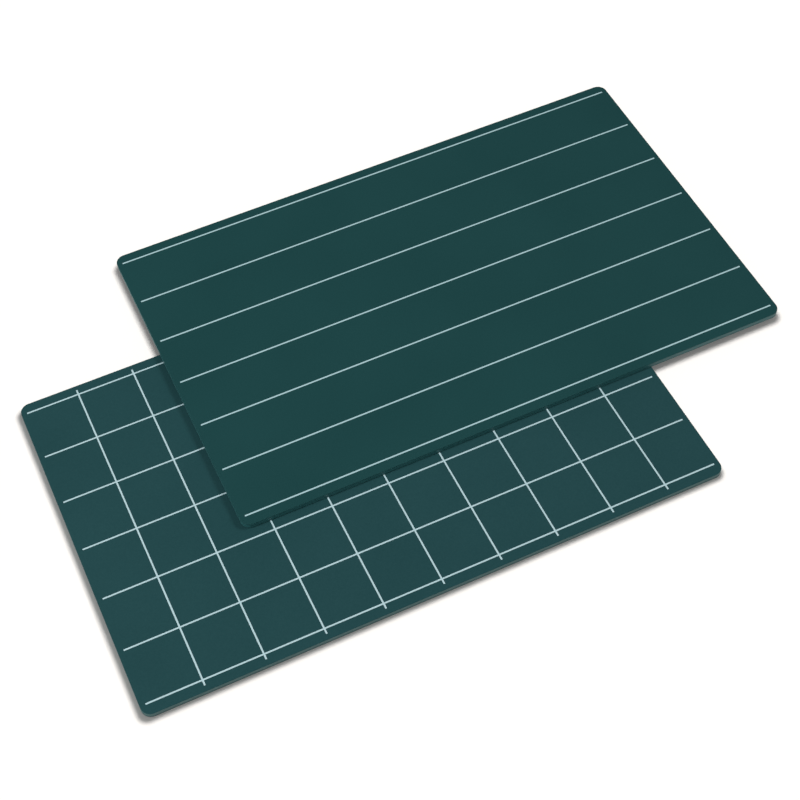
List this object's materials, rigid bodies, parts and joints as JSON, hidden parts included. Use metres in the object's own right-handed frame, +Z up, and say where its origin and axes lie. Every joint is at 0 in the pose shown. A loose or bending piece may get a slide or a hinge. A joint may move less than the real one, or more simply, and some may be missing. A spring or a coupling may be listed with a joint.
{
  "type": "slate writing board",
  "caption": "Thin green chalk-writing boards with rounded corners and white print: a board of ruled lines lies flat on a board of squares and lifts off it, for writing practice.",
  "frame": {"origin": "middle of the squares board's underside, which lies on the table", "axes": "+X along the ruled lines to the right, +Y towards the far edge of the boards, +Z up out of the writing faces"},
  "size_m": [0.4528, 0.3155, 0.0081],
  "materials": {
    "chalk_face": "matte",
    "back_face": "matte",
    "edge_coat": "satin",
    "hardboard": "matte",
    "white_ink": "matte"
  },
  "bodies": {
    "squares_board": {"squares_board_core": "hardboard", "squares_board_writing_face": "chalk_face", "squares_board_back_face": "back_face", "squares_board_edge_coat": "edge_coat", "squares_print": "white_ink"},
    "lined_board": {"lined_board_core": "hardboard", "lined_board_writing_face": "chalk_face", "lined_board_back_face": "back_face", "lined_board_edge_coat": "edge_coat", "ruled_line_1": "white_ink", "ruled_line_2": "white_ink", "ruled_line_3": "white_ink", "ruled_line_4": "white_ink", "ruled_line_5": "white_ink", "ruled_line_6": "white_ink", "ruled_line_7": "white_ink"}
  },
  "joints": [
    {"name": "lined_board_lift", "type": "slide", "parent": "squares_board", "child": "lined_board", "axis": [0, 0, 1], "range_m": [0, 0.12]}
  ]
}
